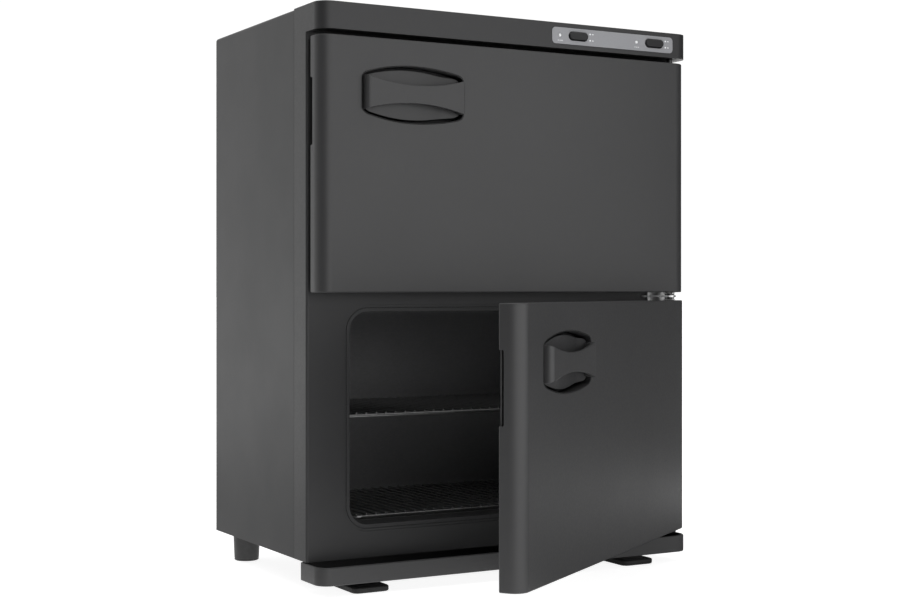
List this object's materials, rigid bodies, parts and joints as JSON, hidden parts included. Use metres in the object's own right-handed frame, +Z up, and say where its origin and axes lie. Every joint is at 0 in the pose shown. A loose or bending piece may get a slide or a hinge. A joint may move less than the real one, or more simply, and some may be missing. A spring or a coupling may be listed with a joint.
{
  "type": "hot towel cabinet",
  "caption": "Heated two-compartment towel cabinet with hinged insulated doors, wire racks and a drip tray.",
  "frame": {"origin": "middle of the footprint at floor level, with the lower door at its 34 degree rest angle", "axes": "+Z up, the doors face -Y, the hinges are at +X"},
  "size_m": [0.45, 0.5198, 0.5863],
  "materials": {
    "charcoal_plastic": "fine satin moulded plastic",
    "charcoal_steel": "satin powder coat",
    "black_plastic": "satin",
    "black_rubber": "matte",
    "panel_grey": "satin film",
    "lamp_lens": "clear diffused lens",
    "bright_steel": "bright",
    "dark_liner": "dark anodised satin",
    "white_foam": "closed-cell foam",
    "heater_silicone": "matte silicone",
    "white_nylon": "satin"
  },
  "bodies": {
    "cabinet": {"back_panel": "charcoal_steel", "back_screw_lower_left": "bright_steel", "back_screw_lower_right": "bright_steel", "back_screw_upper_left": "bright_steel", "back_screw_upper_right": "bright_steel", "base_pan": "charcoal_steel", "bottom_hinge_bracket": "charcoal_steel", "bottom_hinge_pin": "bright_steel", "cabinet_wrap": "charcoal_steel", "control_plate": "panel_grey", "front_bezel": "charcoal_plastic", "front_left_foot": "black_rubber", "front_right_foot": "black_rubber", "left_indicator_lamp": "lamp_lens", "left_switch_housing": "black_plastic", "left_tray_guide": "charcoal_steel", "lower_chamber_liner": "dark_liner", "lower_floor_rack": "bright_steel", "lower_heater_pad": "heater_silicone", "lower_insulation": "white_foam", "lower_middle_rack": "bright_steel", "lower_thermostat": "black_plastic", "middle_hinge_bracket": "bright_steel", "middle_hinge_pin": "bright_steel", "power_inlet": "black_plastic", "rear_left_foot": "black_rubber", "rear_right_foot": "black_rubber", "right_indicator_lamp": "lamp_lens", "right_switch_housing": "black_plastic", "right_tray_guide": "charcoal_steel", "terminal_block": "white_nylon", "top_hinge_bracket": "charcoal_steel", "top_hinge_pin": "bright_steel", "upper_chamber_liner": "dark_liner", "upper_floor_rack": "bright_steel", "upper_heater_pad": "heater_silicone", "upper_insulation": "white_foam", "upper_middle_rack": "bright_steel", "upper_thermostat": "black_plastic"},
    "lower_door": {"lower_door_foam": "white_foam", "lower_door_gasket": "black_rubber", "lower_door_handle": "charcoal_plastic", "lower_door_inner_panel": "charcoal_plastic", "lower_door_lower_bush": "white_nylon", "lower_door_magnet": "bright_steel", "lower_door_shell": "charcoal_plastic", "lower_door_upper_bush": "white_nylon"},
    "upper_door": {"upper_door_foam": "white_foam", "upper_door_gasket": "black_rubber", "upper_door_handle": "charcoal_plastic", "upper_door_inner_panel": "charcoal_plastic", "upper_door_lower_bush": "white_nylon", "upper_door_magnet": "bright_steel", "upper_door_shell": "charcoal_plastic", "upper_door_upper_bush": "white_nylon"},
    "drip_tray": {"drip_tray": "charcoal_plastic"},
    "left_rocker": {"left_rocker": "black_plastic"},
    "right_rocker": {"right_rocker": "black_plastic"}
  },
  "joints": [
    {"name": "upper_door_hinge", "type": "hinge", "parent": "cabinet", "child": "upper_door", "pos_m": [0.2096, -0.00966, 0.4268], "axis": [0, 0, 1], "range_deg": [0, 110]},
    {"name": "lower_door_hinge", "type": "hinge", "parent": "cabinet", "child": "lower_door", "pos_m": [0.2096, -0.00966, 0.164], "axis": [0, 0, 1], "range_deg": [-34.1, 75.9]},
    {"name": "drip_tray_slide", "type": "slide", "parent": "cabinet", "child": "drip_tray", "axis": [0, -1, 0], "range_m": [0, 0.055]},
    {"name": "left_rocker_tilt", "type": "hinge", "parent": "cabinet", "child": "left_rocker", "pos_m": [0.0773, -0.02146, 0.5731], "axis": [1, 0, 0], "range_deg": [0, 10]},
    {"name": "right_rocker_tilt", "type": "hinge", "parent": "cabinet", "child": "right_rocker", "pos_m": [0.1773, -0.02146, 0.5731], "axis": [1, 0, 0], "range_deg": [0, 10]}
  ]
}
